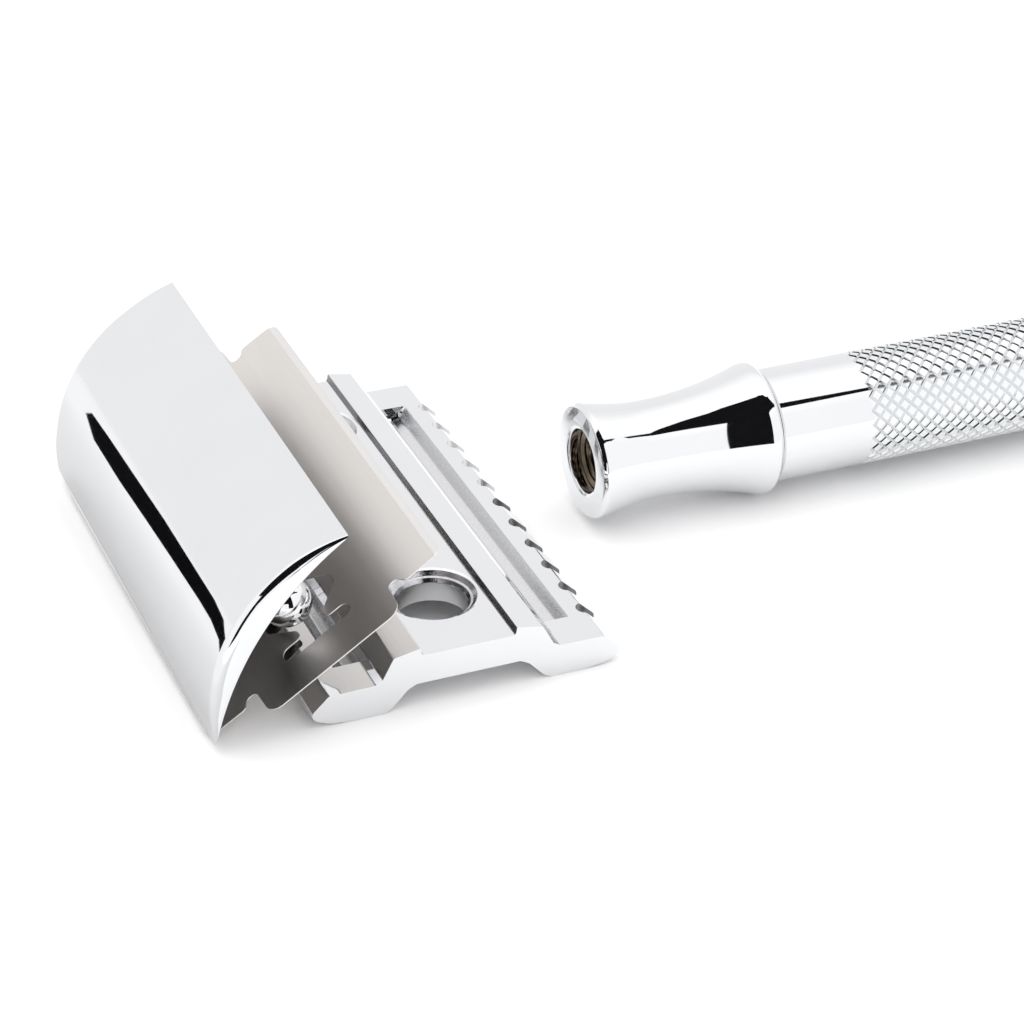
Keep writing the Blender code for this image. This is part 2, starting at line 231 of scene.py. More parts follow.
def shaded(obj: bpy.types.Object, degrees: float = 32.0) -> bpy.types.Object:
    """Shade an object smoothly, with sharp edges kept and broad faces left true.

    Args:
        obj: the object.
        degrees: the turn between two faces that makes an edge sharp.

    Returns:
        The same object.
    """
    obj.data.shade_smooth()
    obj.data.set_sharp_from_angle(angle=math.radians(degrees))
    weigh = obj.modifiers.new("weigh", "WEIGHTED_NORMAL")
    weigh.mode = "FACE_AREA"
    weigh.weight = 50
    weigh.keep_sharp = True
    return baked(obj)


def skin(name: str, rings: Sequence[Ring], joined: bool = False, folded: bool = False,
         levels: Sequence[Sequence[float]] | None = None) -> bpy.types.Object:
    """Stretch a surface over rings of points and close its two ends.

    Args:
        name: the object's name.
        rings: closed loops with the same number of points.
        joined: whether the last ring joins the first, as in a tube.
        folded: whether each ring goes out and back again, so that its ends are
            closed by a strip between its two halves.
        levels: height of each point of each ring; quads are then split along
            their level diagonal, so that creases stay straight.

    Returns:
        The closed object, with its faces turned outward.
    """
    count = len(rings[0])
    work = bmesh.new()
    grid = [[work.verts.new(p) for p in ring] for ring in rings]
    pairs = len(rings) if joined else len(rings) - 1
    for r in range(pairs):
        s = (r + 1) % len(rings)
        for i in range(count):
            j = (i + 1) % count
            quad = (grid[r][i], grid[r][j], grid[s][j], grid[s][i])
            if levels is None:
                work.faces.new(quad)
                continue
            a, b, c, d = levels[r][i], levels[r][j], levels[s][j], levels[s][i]
            first = (round(abs(a - c), 8), a + c)
            second = (round(abs(b - d), 8), b + d)
            if first == second:
                work.faces.new(quad)
            elif first < second:
                work.faces.new((quad[0], quad[1], quad[2]))
                work.faces.new((quad[0], quad[2], quad[3]))
            else:
                work.faces.new((quad[0], quad[1], quad[3]))
                work.faces.new((quad[1], quad[2], quad[3]))
    if folded:
        for ring in (grid[0], grid[-1]):
            for i in range(count // 2 - 1):
                work.faces.new((ring[i], ring[i + 1], ring[count - 2 - i], ring[count - 1 - i]))
    elif not joined:
        work.faces.new(list(reversed(grid[0])))
        work.faces.new(grid[-1])
    bmesh.ops.remove_doubles(work, verts=work.verts, dist=TOUCHING)
    bmesh.ops.recalc_face_normals(work, faces=work.faces)
    mesh = bpy.data.meshes.new(name)
    work.to_mesh(mesh)
    work.free()
    return new_object(name, mesh)


class Along(Enum):
    """The way in which a flat outline is drawn out into a bar."""

    Y = "y"
    Z = "z"


def bar(name: str, outline: Sequence[Point], low: float, high: float,
        way: Along) -> bpy.types.Object:
    """Draw an outline out between two distances along Y or Z.

    Args:
        name: the object's name.
        outline: (x, z) points for a bar along Y, (x, y) for one along Z.
        low: where the bar starts.
        high: where it ends.
        way: the axis that it runs along.

    Returns:
        The closed bar.
    """
    if way is Along.Y:
        rings = [[Vector((x, at, z)) for x, z in outline] for at in (low, high)]
    else:
        rings = [[Vector((x, y, at)) for x, y in outline] for at in (low, high)]
    return skin(name, rings)


@dataclass(frozen=True)
class Relief:
    """A pattern cut into a turned surface between two heights."""

    low: float
    high: float
    surface: float
    depth: float

    def share(self, turn: float, height: float) -> float:
        """How much of the depth is cut at a place, from 0 to 1."""
        raise NotImplementedError

    def cut(self, radius: float, turn: float, height: float) -> float:
        """The radius left at a place on the turned surface."""
        inside = self.low <= height <= self.high and abs(radius - self.surface) < 1e-7
        return radius - self.depth * self.share(turn, height) if inside else radius


@dataclass(frozen=True)
class Thread(Relief):
    """A right-hand vee thread with narrow flat crests."""

    pitch: float = 0.0008
    inward: bool = False

    def share(self, turn: float, height: float) -> float:
        """How much of the thread's depth is cut at a place.

        Args:
            turn: the angle round the axis.
            height: the distance along it.

        Returns:
            The share, negative where the thread is cut outward.
        """
        phase = (height / self.pitch - turn / math.tau) % 1.0
        groove = min(1.0, max(0.0, 1.25 * (1 - abs(2 * phase - 1))))
        ends = min(height - self.low, self.high - height) / (0.5 * self.pitch)
        cut = groove * min(1.0, max(0.0, ends))
        return -cut if self.inward else cut


@dataclass(frozen=True)
class DiamondKnurl(Relief):
    """Two crossing sets of helical grooves that leave small diamonds."""

    around: int = 26
    pitch: float = 0.0012
    groove: float = 1 / 3

    def share(self, turn: float, height: float) -> float:
        """How much of the groove depth is cut at a place.

        Args:
            turn: the angle round the axis.
            height: the distance along it.

        Returns:
            The share, from 0 on a diamond to 1 in a groove.
        """
        across = self.around * turn / math.tau
        along = (height - self.low) / self.pitch
        edge = min(0.5 - abs((across + along) % 1.0 - 0.5), 0.5 - abs((across - along) % 1.0 - 0.5))
        return max(0.0, 1.0 - edge / self.groove)


def turned(name: str, profile: Sequence[Point], segments: int = 128, closed: bool = False,
           relief: Relief | None = None) -> bpy.types.Object:
    """Turn a profile about the Z axis.

    Args:
        name: the object's name.
        profile: (radius, height) points, in order round the section.
        segments: how many points go round.
        closed: whether the section is a closed loop clear of the axis.
        relief: a pattern to cut into the surface.

    Returns:
        The turned object.
    """
    rings: list[Ring] = []
    levels: list[list[float]] = []
    for radius, height in profile:
        turns = [math.tau * i / segments for i in range(segments)]
        radii = [relief.cut(radius, t, height) if relief else radius for t in turns]
        rings.append([Vector((r * math.cos(t), r * math.sin(t), height))
                      for r, t in zip(radii, turns)])
        levels.append(radii)
    return skin(name, rings, joined=closed, levels=levels if relief else None)


def heights(low: float, high: float, step: float) -> list[float]:
    """Evenly spaced heights from low to high, both included."""
    count = max(1, round((high - low) / step))
    return [low + (high - low) * k / count for k in range(count + 1)]


def carve(body: bpy.types.Object, cutters: Sequence[bpy.types.Object],
          edge: float) -> bpy.types.Object:
    """Take cutters away from a body, then round the edges that are left.

    Args:
        body: the object to cut; it keeps its name.
        cutters: the shapes to take away, which are then removed.
        edge: width of the rounding, in metres.

    Returns:
        The body with its new mesh.
    """
    for cutter in cutters:
        step = body.modifiers.new("cut", "BOOLEAN")
        step.operation = "DIFFERENCE"
        step.solver = "EXACT"
        step.object = cutter
    soften = body.modifiers.new("soften", "BEVEL")
    soften.width = edge
    soften.segments = 3
    soften.limit_method = "ANGLE"
    soften.angle_limit = math.radians(28)
    soften.harden_normals = True
    body.data.shade_smooth()
    baked(body)
    for cutter in cutters:
        bpy.data.objects.remove(cutter)
    return body


# Finishes -------------------------------------------------------------------

def feed(tree: NodeTree, socket: Socket, value: Value) -> None:
    """Link a socket to another one, or give it a value of its own.

    Args:
        tree: the node tree.
        socket: the input to fill.
        value: what goes in.
    """
    if isinstance(value, Socket):
        tree.links.new(value, socket)
    else:
        socket.default_value = value


def math_node(tree: NodeTree, operation: str, *values: Value) -> Socket:
    """Add a Math node.

    Args:
        tree: the node tree to add to.
        operation: the node's operation.
        values: what its inputs take, in order.

    Returns:
        The node's output.
    """
    node = tree.nodes.new("ShaderNodeMath")
    node.operation = operation
    for socket, value in zip(node.inputs, values):
        feed(tree, socket, value)
    return node.outputs[0]


def range_node(tree: NodeTree, value: Value, low: Value, high: Value,
               start: float = 0.0, end: float = 1.0) -> Socket:
    """Add a Map Range node that takes start..end to low..high.

    Args:
        tree: the node tree to add to.
        value: what goes in.
        low: what comes out at the start.
        high: what comes out at the end.
        start: the value at the start.
        end: the value at the end.

    Returns:
        The node's output.
    """
    node = tree.nodes.new("ShaderNodeMapRange")
    for name, given in (("Value", value), ("From Min", start), ("From Max", end),
                        ("To Min", low), ("To Max", high)):
        feed(tree, node.inputs[name], given)
    return node.outputs["Result"]


def noise_node(tree: NodeTree, place: Socket, scale: Value, detail: float,
               roughness: float = 0.5) -> Socket:
    """Add a Noise node at a place.

    Args:
        tree: the node tree to add to.
        place: where each point lies.
        scale: how fine the noise is.
        detail: how many finer layers it has.
        roughness: how strong those are.

    Returns:
        The noise, from 0 to 1.
    """
    node = tree.nodes.new("ShaderNodeTexNoise")
    node.inputs["Detail"].default_value = detail
    node.inputs["Roughness"].default_value = roughness
    feed(tree, node.inputs["Vector"], place)
    feed(tree, node.inputs["Scale"], scale)
    return node.outputs["Fac"]


def stretch_node(tree: NodeTree, place: Socket, scale: Value,
                 turn: Corner = (0.0, 0.0, 0.0)) -> Socket:
    """Add a Mapping node that scales and turns a place.

    Args:
        tree: the node tree to add to.
        place: where each point lies.
        scale: the share taken of each axis.
        turn: turns about X, Y and Z.

    Returns:
        The new place.
    """
    node = tree.nodes.new("ShaderNodeMapping")
    node.inputs["Rotation"].default_value = turn
    feed(tree, node.inputs["Vector"], place)
    feed(tree, node.inputs["Scale"], scale)
    return node.outputs["Vector"]


def polish_marks(tree: NodeTree, given: Sockets, place: Socket) -> tuple[Socket, Socket, Socket]:
    """Polishing haze and faint hairline marks, for plated and machined metal.

    Args:
        tree: the node tree to add to.
        given: the group's inputs.
        place: where each point lies.

    Returns:
        Roughness, height and tone.
    """
    haze = noise_node(tree, place, given["Haze Scale"], 3.0)
    stretched = stretch_node(tree, place, (1.0, 0.12, 1.0), (0.3, 0.2, 0.6))
    marks = noise_node(tree, stretched, given["Mark Scale"], 4.0)
    share = math_node(tree, "MULTIPLY", math_node(tree, "MULTIPLY", haze, marks), 2.4)
    return range_node(tree, share, given["Smooth"], given["Dull"]), marks, haze


def ground_grain(tree: NodeTree, given: Sockets, place: Socket) -> tuple[Socket, Socket, Socket]:
    """Long parallel grinding lines, for ground and brushed steel.

    Args:
        tree: the node tree to add to.
        given: the group's inputs.
        place: where each point lies.

    Returns:
        Roughness, height and tone.
    """
    size = tree.nodes.new("ShaderNodeCombineXYZ")
    for axis, name in (("X", "Across"), ("Y", "Along"), ("Z", "Across")):
        feed(tree, size.inputs[axis], given[name])
    stretched = stretch_node(tree, place, size.outputs["Vector"])
    lines = noise_node(tree, stretched, given["Scale"], 5.0)
    cloud = noise_node(tree, place, 120.0, 2.0)
    mixed = math_node(tree, "MULTIPLY_ADD", lines, 0.7, math_node(tree, "MULTIPLY", cloud, 0.3))
    return range_node(tree, mixed, given["Smooth"], given["Dull"]), lines, mixed


def cast_skin(tree: NodeTree, given: Sockets, place: Socket) -> tuple[Socket, Socket, Socket]:
    """The pebbled skin that plating leaves on unpolished, recessed faces."""
    pebble = noise_node(tree, place, given["Grain Scale"], 6.0, 0.65)
    return range_node(tree, pebble, given["Smooth"], given["Dull"]), pebble, pebble


class Surface(Enum):
    """The shared surface effects, one node group each."""

    POLISHED = "polish_marks"
    GROUND = "ground_grain"
    CAST = "cast_skin"

    def group(self) -> NodeTree:
        """The node group of this surface, made when first asked for.

        Returns:
            The group.
        """
        found = bpy.data.node_groups.get(self.value)
        if found:
            return found
        usual, fill = SURFACES[self]
        tree = bpy.data.node_groups.new(self.value, "ShaderNodeTree")
        for name, value in usual.items():
            tree.interface.new_socket(name=name, in_out="INPUT",
                                      socket_type="NodeSocketFloat").default_value = value
        outputs = ("Roughness", "Height", "Tone")
        for name in outputs:
            tree.interface.new_socket(name=name, in_out="OUTPUT", socket_type="NodeSocketFloat")
        source = tree.nodes.new("NodeGroupInput")
        sink = tree.nodes.new("NodeGroupOutput")
        place = tree.nodes.new("ShaderNodeTexCoord").outputs["Object"]
        for name, socket in zip(outputs, fill(tree, source.outputs, place)):
            tree.links.new(socket, sink.inputs[name])
        return tree


SURFACES: dict[Surface, tuple[dict[str, float], Callable[..., tuple[Socket, Socket, Socket]]]] = {
    Surface.POLISHED: ({"Haze Scale": 160.0, "Mark Scale": 420.0, "Smooth": 0.04, "Dull": 0.09},
                       polish_marks),
    Surface.GROUND: ({"Scale": 1400.0, "Across": 1.0, "Along": 0.03, "Smooth": 0.25, "Dull": 0.45},
                     ground_grain),
    Surface.CAST: ({"Grain Scale": 5200.0, "Smooth": 0.2, "Dull": 0.42}, cast_skin)}


@dataclass(frozen=True)
class Finish:
    """One metal finish: its two tones, its surface effect and that effect's values."""

    name: str
    slot: str
    surface: Surface
    light: Tone
    dark: Tone
    values: tuple[tuple[str, float], ...]
    bump: float

    def material(self) -> bpy.types.Material:
        """The finish as a material, made once and shared by its pieces.

        Returns:
            The material.
        """
        found = bpy.data.materials.get(self.name)
        if found:
            return found
        material = bpy.data.materials.new(self.name)
        material.use_nodes = True
        tree = material.node_tree
        shader = tree.nodes["Principled BSDF"]
        shader.inputs["Metallic"].default_value = 1.0
        effect = tree.nodes.new("ShaderNodeGroup")
        effect.node_tree = self.surface.group()
        for name, value in self.values:
            effect.inputs[name].default_value = value
        tone = tree.nodes.new("ShaderNodeMix")
        tone.data_type = "RGBA"
        tone.inputs["A"].default_value = (*self.dark, 1.0)
        tone.inputs["B"].default_value = (*self.light, 1.0)
        tree.links.new(effect.outputs["Tone"], tone.inputs["Factor"])
        tree.links.new(tone.outputs["Result"], shader.inputs["Base Color"])
        tree.links.new(effect.outputs["Roughness"], shader.inputs["Roughness"])
        relief = tree.nodes.new("ShaderNodeBump")
        relief.inputs["Strength"].default_value = 1.0
        relief.inputs["Distance"].default_value = self.bump
        tree.links.new(effect.outputs["Height"], relief.inputs["Height"])
        tree.links.new(relief.outputs["Normal"], shader.inputs["Normal"])
        return material


CHROME = Finish("mirror_chrome", "chrome", Surface.POLISHED, (0.80, 0.805, 0.815),
                (0.76, 0.765, 0.775), (("Smooth", 0.02), ("Dull", 0.05)), 2e-7)
KNURLED = Finish("knurled_chrome", "knurled_chrome", Surface.POLISHED, (0.88, 0.885, 0.895),
                 (0.81, 0.815, 0.825), (("Smooth", 0.12), ("Dull", 0.22)), 6e-7)
# Unpolished cast skin for the channel floors; on the far notches' walls it stands in as a fainter
# painted shade.
UNPOLISHED_AND_PAINTED_SHADE = Finish("unpolished_chrome_and_painted_shade", "chrome", Surface.CAST, (0.8, 0.8, 0.81), (0.6, 0.6, 0.61),
                (("Smooth", 0.16), ("Dull", 0.34)), 4e-6)
STEEL = Finish("machined_steel", "plated_steel", Surface.POLISHED, (0.78, 0.79, 0.8),
               (0.66, 0.67, 0.69), (("Smooth", 0.12), ("Dull", 0.26)), 1e-6)
# Cap underside: unpolished cast skin, with painted shade in its dark tones, since the underside
# lies in shade.
UNDERSIDE_PAINTED_SHADE = Finish("cap_underside_painted_shade_chrome", "chrome", Surface.CAST, (0.30, 0.30, 0.305),
                   (0.16, 0.16, 0.165), (("Smooth", 0.22), ("Dull", 0.4)), 2e-6)
BRASS = Finish("machined_brass", "brass", Surface.POLISHED, (0.24, 0.19, 0.14), (0.14, 0.11, 0.08),
               (("Smooth", 0.2), ("Dull", 0.38)), 1e-6)
# Painted shade: a dark copy of the chrome for the rail walls and the near notches' walls.
PAINTED_SHADE = Finish("painted_shade_recess_chrome", "chrome", Surface.CAST, (0.3, 0.3, 0.31), (0.1, 0.1, 0.105),
                (("Smooth", 0.2), ("Dull", 0.4)), 5e-6)
TURNED = Finish("turned_recess_chrome", "chrome", Surface.CAST, (0.8, 0.8, 0.82),
                (0.22, 0.21, 0.24), (("Grain Scale", 1500.0), ("Smooth", 0.08), ("Dull", 0.2)),
                3e-5)
GROUND = Finish("ground_blade_steel", "blade_steel", Surface.GROUND, (0.78, 0.75, 0.72),
                (0.66, 0.63, 0.6), (("Smooth", 0.26), ("Dull", 0.4)), 6e-7)
HONED = Finish("honed_edge_steel", "blade_steel", Surface.GROUND, (0.84, 0.83, 0.81),
               (0.72, 0.7, 0.68), (("Smooth", 0.14), ("Dull", 0.26)), 4e-7)


def dress(obj: bpy.types.Object, finish: Finish) -> bpy.types.Object:
    """Give a piece its finish.

    Args:
        obj: the piece.
        finish: the finish to give it.

    Returns:
        The same piece.
    """
    obj.data.materials.clear()
    obj.data.materials.append(finish.material())
    return obj


def settle(obj: bpy.types.Object, body: str, *nodes: str) -> None:
    """Tie a piece to its body and let it stand for the solids it replaces.

    Args:
        obj: the piece.
        body: the body that it moves with.
        nodes: the solids that it stands for.
    """
    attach(obj, body)
    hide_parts(*nodes)
    LOG.info("%s: %d faces, on %s", obj.name, len(obj.data.polygons), body)


# Where things lie -----------------------------------------------------------

@dataclass(frozen=True)
class Layout:
    """Places of the loose groups, from the middle of the guard plate's foot."""

    plate: Vector
    cap_offset: Corner = (-0.01492, -0.00040, 0.00878)
    cap_tilt: float = math.radians(56.0)
    blade_edge: Corner = (-0.02009, -0.00062, 0.00023)
    blade_tilt: float = math.radians(33.5)
    blade_half_width: float = 0.01105
    handle_offset: Corner = (0.01795, -0.00100, 0.00560)

    @classmethod
    def measured(cls) -> "Layout":
        """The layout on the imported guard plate's own middle.

        Returns:
            The layout.
        """
        low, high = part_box("base_plate")
        middle = (low + high) / 2
        return cls(Vector((middle.x, middle.y, low.z)))

    def at(self, offset: Corner) -> Matrix:
        """A move to a place given from the middle of the guard plate's foot."""
        return Matrix.Translation(self.plate + Vector(offset))

    def cap(self) -> Matrix:
        """Frame on the cap's chord: X across, Y along the head, Z outward."""
        return self.at(self.cap_offset) @ Matrix.Rotation(-self.cap_tilt, 4, "Y")

    def blade(self) -> Matrix:
        """Frame in the middle of the blade: X across, Y along, Z up out of it.

        Returns:
            The frame.
        """
        turn = Matrix.Rotation(-self.blade_tilt, 4, "Y")
        middle = Matrix.Translation((self.blade_half_width, 0.0, 0.0))
        return self.at(self.blade_edge) @ turn @ middle

    def handle(self) -> Matrix:
        """Frame at the neck's end face, Z along the handle."""
        return self.at(self.handle_offset) @ Matrix.Rotation(math.pi / 2, 4, "Y")


# Guard plate ----------------------------------------------------------------

@dataclass
class GuardPlate:
    """The lower head plate: rails, channels, guard bars with notches, and holes."""

    layout: Layout
    half_length: float = 0.0212
    plateau: float = 0.0045
    bar_top: float = 0.0027
    stud_hole: float = 0.0028
    cut_span: Point = (-0.001, 0.007)
    post_at: float = 0.0135
    notches: int = 11
    notch_pitch: float = 0.0034
    notch_radius: float = 0.00076
    notch_x: float = 0.01138
    notch_span: Point = (-0.001, 0.004)
    notched_half: float = 0.0185
    # Notches nearer than this get the dark painted shade, farther ones the fainter one.
    shaded_notches_below: float = 0.003
    channel_span: Point = (0.0073, 0.0098)
    channel_floor: float = 0.0012
    channel_wall_at: float = 0.0175
    rail_wall_span: Point = (0.0037, 0.0040)
    sink_span: Point = (0.0029, 0.0037)
    sink_depth: float = 0.0009
    easing: float = 0.00016

    def outline(self) -> list[Point]:
        """Section of the plate with its edges eased.

        Returns:
            The closed section, as (x, z) points.
        """
        half: list[Corner] = [
            (4.2, 2.05, 0.3), (4.95, 1.65, 0.4), (6.2, 0.3, 0.4), (6.8, 0.0, 0.4), (9.5, 0.0, 0.8),
            (11.1, 0.2, 0.8), (12.15, 0.62, 0.5), (12.5, 1.0, 0.3), (12.47, 1.4, 0.35),
            (11.15, 2.66, 0.3), (7.5, 2.7, 0.35), (6.9, 3.05, 0.25), (6.2, 4.42, 0.12),
            (6.0, 4.76, 0.14), (3.88, 5.17, 0.09), (3.8, 4.5, 0.32)]
        mirror = [(-x, z, r) for x, z, r in reversed(half)]
        return rounded(half + mirror, steps=6)

    def channel(self, side: int) -> bpy.types.Object:
        """The long channel beside a rail, with a small round at the foot of its far end.

        Args:
            side: -1 or 1, for the rail that it runs beside.

        Returns:
            The cutter.
        """
        section: list[Corner] = [
            (7.42, 3.4, 0.0), (7.46, 2.6, 0.0), (7.62, 1.72, 0.25), (8.3, 1.5, 0.35),
            (9.0, 1.72, 0.4), (9.62, 2.66, 0.0), (9.72, 3.4, 0.0)]
        stations = ((-17.75, 0.0), (17.3, 0.0), (17.5, 0.05), (17.68, 0.18), (17.75, 0.4))
        points = rounded(section, closed=False, steps=5)
        rings: list[Ring] = []
        for along, lift in stations:
            rings.append([Vector((side * x, along * MM, z + lift * MM if z < self.bar_top else z))
                          for x, z in points])
        return skin(f"channel_{side}", rings)

    def notch(self, side: int, along: float) -> bpy.types.Object:
        """A half-round scoop through a guard bar, open on its outer side.

        Args:
            side: -1 or 1, for the bar that it cuts.
            along: its place along the bar.

        Returns:
            The cutter.
        """
        inner = circle(self.notch_radius, 90, 270, 17, (self.notch_x, 0.0))
        outline = [(0.0137, self.notch_radius)] + inner + [(0.0137, -self.notch_radius)]
        shape = bar("notch", [(side * x, y) for x, y in outline], *self.notch_span, Along.Z)
        shape.location = (0.0, along, 0.0)
        return shape

    def post_hole(self, along: float) -> bpy.types.Object:
        """A countersunk hole with an eased lip and a small step.

        Args:
            along: its place along the plate.

        Returns:
            The cutter.
        """
        top = self.plateau / MM
        corners: list[Corner] = [
            (0.0, top + 1.0, 0.0), (3.72, top + 1.0, 0.0), (3.72, top, 0.0), (3.5, top - 0.1, 0.12),
            (3.2, top - 0.42, 0.12), (3.0, top - 0.5, 0.08), (2.82, top - 0.8, 0.12),
            (2.8, 1.0, 0.0), (0.0, 1.0, 0.0)]
        shape = turned("post_hole", rounded(corners, closed=False, steps=4), segments=96)
        shape.location = (0.0, along, 0.0)
        return shape

    def build(self) -> None:
        """Make, cut and dress the plate."""
        plate = bar("guard_plate", self.outline(), -self.half_length, self.half_length, Along.Y)
        low, high = self.cut_span
        hole = turned("stud_hole", [(0.0, low), (self.stud_hole, low), (self.stud_hole, high),
                                    (0.0, high)], segments=96)
        cutters = [hole, self.post_hole(-self.post_at), self.post_hole(self.post_at)]
        for side in (-1, 1):
            cutters.append(self.channel(side))
            for index in range(self.notches):
                along = (index - (self.notches - 1) / 2) * self.notch_pitch
                cutters.append(self.notch(side, along))
        carve(plate, cutters, self.easing)
        lay(plate, Matrix.Translation(self.layout.plate))
        dress(plate, CHROME)
        # Finishes 1 to 3: unpolished skin that also stands as a fainter painted shade, dark painted
        # shade, turned recess.
        plate.data.materials.append(UNPOLISHED_AND_PAINTED_SHADE.material())
        plate.data.materials.append(PAINTED_SHADE.material())
        plate.data.materials.append(TURNED.material())
        for face in plate.data.polygons:
            face.material_index = self.part_of(face.center, face.normal)
        settle(plate, "base_plate", "base_plate")

    def part_of(self, spot: Vector, normal: Vector) -> int:
        """Which finish a face has: 0 polished, 1 unpolished (a fainter painted shade on the far
        notches), 2 painted shade, 3 turned recess.

        Args:
            spot: the middle of the face.
            normal: the way that it looks.

        Returns:
            The number of the finish.
        """
        across = abs(spot.x)
        under_bar_top = self.channel_floor < spot.z < self.bar_top - 0.0001
        if self.channel_span[0] < across < self.channel_span[1] and under_bar_top:
            return 0 if abs(spot.y) > self.channel_wall_at else 1
        from_hole = math.hypot(spot.x, abs(spot.y) - self.post_at)
        in_sink = self.plateau - self.sink_depth < spot.z < self.plateau - 0.00005
        if self.sink_span[0] < from_hole < self.sink_span[1] and in_sink:
            return 3
        # The rail's upright inner walls get painted shade.
        upright = abs(normal.z) < 0.8 and spot.z > self.plateau - 0.0001
        if self.rail_wall_span[0] < across < self.rail_wall_span[1] and upright:
            return 2
        steps = spot.y / self.notch_pitch + (self.notches - 1) / 2
        from_notch = abs(steps - round(steps)) * self.notch_pitch
        near_notch = from_notch < self.notch_radius + 0.00005 and abs(spot.y) <= self.notched_half
        if across <= self.notch_x - 0.0009 or not near_notch or abs(normal.z) > 0.5:
            return 0
        # Notch walls get painted shade: dark on the near notches, fainter on the far ones.
        return 2 if spot.y < self.shaded_notches_below else 1


# Cap ------------------------------------------------------------------------

@dataclass
class Cap:
    """The curved cap with its threaded stud and two ball-ended posts."""

    layout: Layout
    half_length: float = 0.0214
    half_chord: float = 0.0095
    rise: float = 0.0038
    inner_half: float = 0.0091
    inner_rise: float = 0.0017
    stud_radius: float = 0.0024
    stud_length: float = 0.0068
    thread_depth: float = 0.00042
    plain_shoulder: float = 0.0008
    spigot_sunk: float = 0.0007
    post_at: float = 0.0133
    post_radius: float = 0.0020
    end_rounding: float = 0.0008
    inner_rounding: float = 0.00008

    def end_ring(self, over: list[Point], under: list[Point], side: int, turn: float) -> Ring:
        """One section of the shell's rounded end.

        Args:
            over: the outer arc.
            under: the inner arc, with as many points.
            side: -1 for the near end, 1 for the far one.
            turn: how far round the edge, 0 where it leaves the outer face.

        Returns:
            The section's points.
        """
        ring: Ring = []
        for above, below in zip(over, under):
            outer = Vector(above)
            inward = Vector(below) - outer
            ease = min(self.end_rounding, 0.55 * inward.length)
            spot = outer + inward.normalized() * ease * (1 - math.cos(turn))
            along = self.half_length - ease * (1 - math.sin(turn))
            ring.append(Vector((spot.x, side * along, spot.y)))
        lift = self.inner_rounding * (1 - math.cos(turn))
        along = self.half_length - self.inner_rounding * (1 - math.sin(turn))
        ring += [Vector((x, side * along, z + lift)) for x, z in reversed(under)]
        return ring

    def build_shell(self) -> None:
        """The curved shell, thick along its middle and thin at its lips."""
        over = bow(self.half_chord, self.rise, 121)
        under = bow(self.inner_half, self.inner_rise, 121)
        rings: list[Ring] = []
        for side in (-1, 1):
            turns = [math.radians(90 * k / 6) for k in range(7)]
            for turn in turns[::-1] if side < 0 else turns:
                rings.append(self.end_ring(over, under, side, turn))
        shell = shaded(skin("cap_cover", rings, folded=True), 40)
        outward = self.layout.cap().to_3x3() @ Vector((0, 0, 1))
        lay(shell, self.layout.cap())
        dress(shell, CHROME)
        # Faces that look into the cap take the underside finish, darkened with painted shade.
        shell.data.materials.append(UNDERSIDE_PAINTED_SHADE.material())
        for face in shell.data.polygons:
            face.material_index = int(face.normal.dot(outward) < -0.5)
        settle(shell, "cap", "cap_shell")

    def root(self, radius: float, spigot: float) -> list[Point]:
        """The top of a stud or post, with a spigot sunk into the shell.

        Args:
            radius: radius below the shell.
            spigot: radius inside it.

        Returns:
            Profile points, from the outside to the axis.
        """
        face = self.inner_rise - 0.0003
        sunk = self.inner_rise + self.spigot_sunk
        return [(radius, face), (spigot, face), (spigot, sunk), (0.0, sunk)]

    def build_stud(self) -> None:
        """The stud, threaded below a plain shoulder."""
        low = -self.stud_length + 0.0003
        top = -self.plain_shoulder
        thread = Thread(low, top, self.stud_radius, self.thread_depth)
        body = [(self.stud_radius, z) for z in heights(low, top, 0.00008)]
        ends = [(0.0, -self.stud_length), (self.stud_radius - 0.0007, -self.stud_length)]
        shoulder = [(self.stud_radius, 0.0)] + self.root(self.stud_radius, 0.0019)
        stud = shaded(turned("screw_stud", ends + body + shoulder, 64, relief=thread))
        lay(stud, self.layout.cap())
        settle(dress(stud, STEEL), "cap", "threaded_stud")

    def build_post(self, name: str, node: str, along: float) -> None:
        """A post with a ball end and a shallow waist above the ball.

        Args:
            name: the piece's name.
            node: the solid that it stands for.
            along: its place along the cap.
        """
        radius = self.post_radius / MM
        ball = circle(radius, -90, 48, 28, (0.0, -3.7))
        neck = [(1.24, -1.95), (1.30, -1.4), (1.62, -0.9), (1.95, -0.5), (2.0, 0.2), (2.0, 1.1)]
        line = [(x * MM, z * MM) for x, z in ball + neck] + self.root(self.post_radius, 0.0013)
        post = shaded(turned(name, [(0.0 if x < 1e-7 else x, z) for x, z in line], 72))
        lay(post, self.layout.cap() @ Matrix.Translation((0.0, along, 0.0)))
        settle(dress(post, CHROME), "cap", node)

    def build(self) -> None:
        """Make the cap's four pieces."""
        self.build_shell()
        self.build_stud()
        self.build_post("near_ball_post", "locating_post_near", -self.post_at)
        self.build_post("far_ball_post", "locating_post_far", self.post_at)


# Blade ----------------------------------------------------------------------

